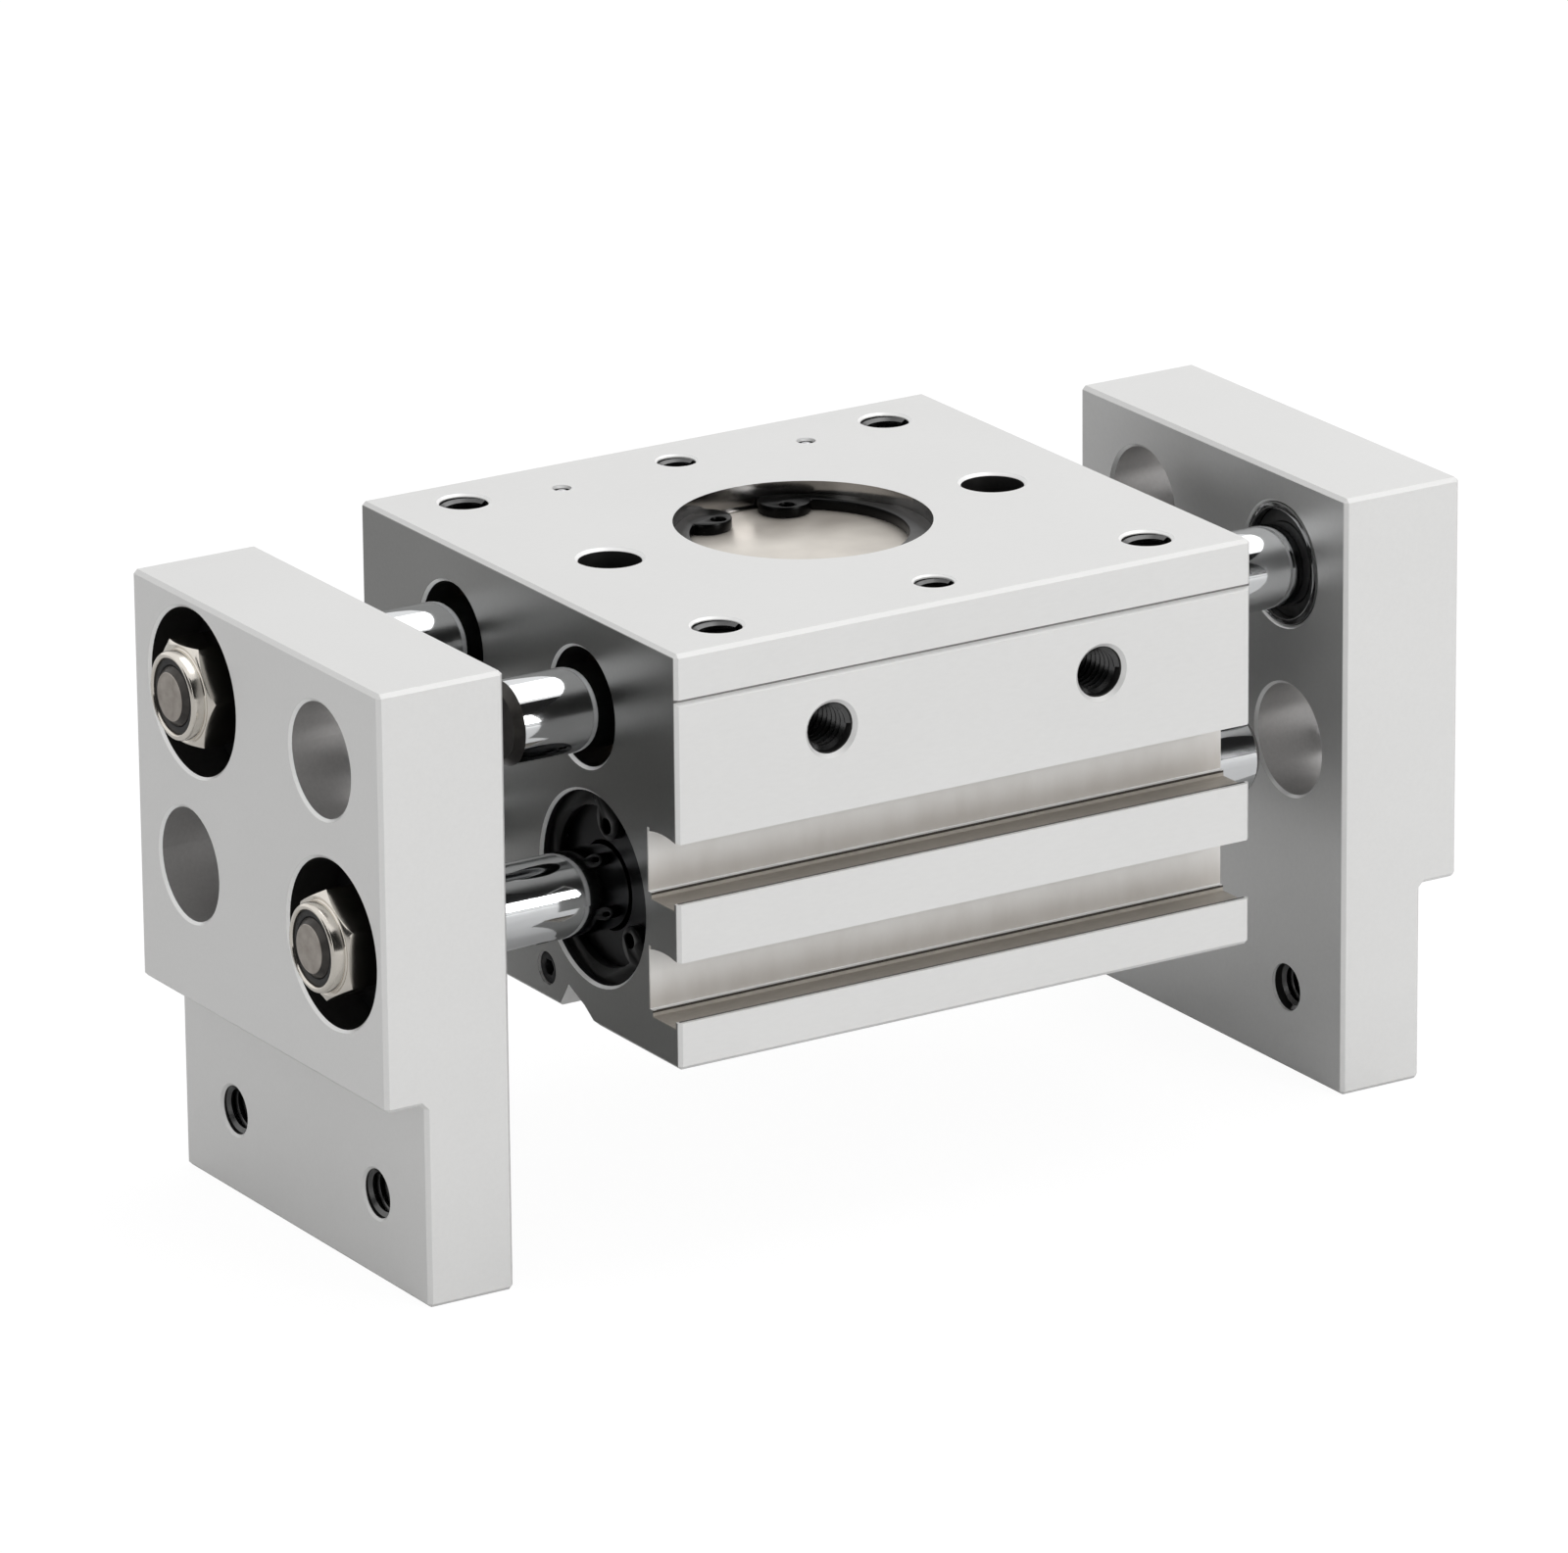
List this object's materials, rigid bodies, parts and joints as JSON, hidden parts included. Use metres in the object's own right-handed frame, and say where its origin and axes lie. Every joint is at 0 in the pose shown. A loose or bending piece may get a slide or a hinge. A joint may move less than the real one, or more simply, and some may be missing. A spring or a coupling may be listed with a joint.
{
  "type": "parallel gripper",
  "caption": "Wide-opening pneumatic parallel gripper with a block body, rods that pass right through it and stepped plate fingers.",
  "frame": {"origin": "centre of the pilot bore's mouth on the top mounting face", "axes": "+X along the stroke towards the right finger, -Y out of the face with the air ports, +Z out of the mounting face"},
  "size_m": [0.131, 0.06, 0.0638],
  "materials": {
    "body_aluminium": "clear satin anodised",
    "finger_aluminium": "clear satin anodised",
    "dark_aluminium": "black anodised",
    "piston_aluminium": "turned",
    "chromed_rod": "hard chromed and polished",
    "plated_nut": "bright plated",
    "collar_steel": "turned",
    "blackened_steel": "black oxide",
    "black_spring_steel": "black phosphated",
    "cover_plate": "dull plated",
    "hardened_steel": "ground",
    "bronze": "sintered",
    "black_rubber": "matt",
    "bonded_magnet": "bonded magnet, matt",
    "bearing_plastic": "matt"
  },
  "bodies": {
    "housing": {"body_block": "body_aluminium", "pinion_cover": "cover_plate", "pinion_cover_ring": "black_spring_steel", "pinion_shaft": "hardened_steel", "upper_thrust_washer": "bronze", "lower_thrust_washer": "bronze", "drilling_balls": "hardened_steel", "left_front_rack_bush": "bronze", "left_front_rod_cover": "dark_aluminium", "left_front_snap_ring": "black_spring_steel", "left_back_rack_bush": "bronze", "left_back_rod_cover": "dark_aluminium", "left_back_snap_ring": "black_spring_steel", "left_rod_bushes": "bronze", "left_rod_seals": "black_rubber", "left_ring_seals": "black_rubber", "left_bumpers": "black_rubber", "left_end_plug": "blackened_steel", "right_front_rack_bush": "bronze", "right_front_rod_cover": "dark_aluminium", "right_front_snap_ring": "black_spring_steel", "right_back_rack_bush": "bronze", "right_back_rod_cover": "dark_aluminium", "right_back_snap_ring": "black_spring_steel", "right_rod_bushes": "bronze", "right_rod_seals": "black_rubber", "right_ring_seals": "black_rubber", "right_bumpers": "black_rubber", "right_end_plug": "blackened_steel"},
    "pinion_gear": {"pinion": "hardened_steel", "pinion_bush": "bronze"},
    "left_jaw": {"left_finger": "finger_aluminium", "left_rack": "chromed_rod", "left_piston_rod": "chromed_rod", "left_piston": "piston_aluminium", "left_piston_seals": "black_rubber", "left_magnet": "bonded_magnet", "left_wear_ring": "bearing_plastic", "left_rod_washers": "blackened_steel", "left_rod_nuts": "plated_nut", "left_rod_collars": "collar_steel", "left_rod_wipers": "black_rubber"},
    "right_jaw": {"right_finger": "finger_aluminium", "right_rack": "chromed_rod", "right_piston_rod": "chromed_rod", "right_piston": "piston_aluminium", "right_piston_seals": "black_rubber", "right_magnet": "bonded_magnet", "right_wear_ring": "bearing_plastic", "right_rod_washers": "blackened_steel", "right_rod_nuts": "plated_nut", "right_rod_collars": "collar_steel", "right_rod_wipers": "black_rubber"}
  },
  "joints": [
    {"name": "left_jaw_slide", "type": "slide", "parent": "housing", "child": "left_jaw", "axis": [1, 0, 0], "range_m": [0, 0.015]},
    {"name": "right_jaw_slide", "type": "slide", "parent": "housing", "child": "right_jaw", "axis": [-1, 0, 0], "range_m": [0, 0.015]},
    {"name": "pinion_spin", "type": "hinge", "parent": "housing", "child": "pinion_gear", "pos_m": [0, 0, -0.01], "axis": [0, 0, 1], "range_deg": [-86, 0]}
  ],
  "couplings": [
    {"joint": "right_jaw_slide", "follows": "left_jaw_slide", "ratio": 1},
    {"joint": "pinion_spin", "follows": "left_jaw_slide", "rad_per_m": -100}
  ]
}
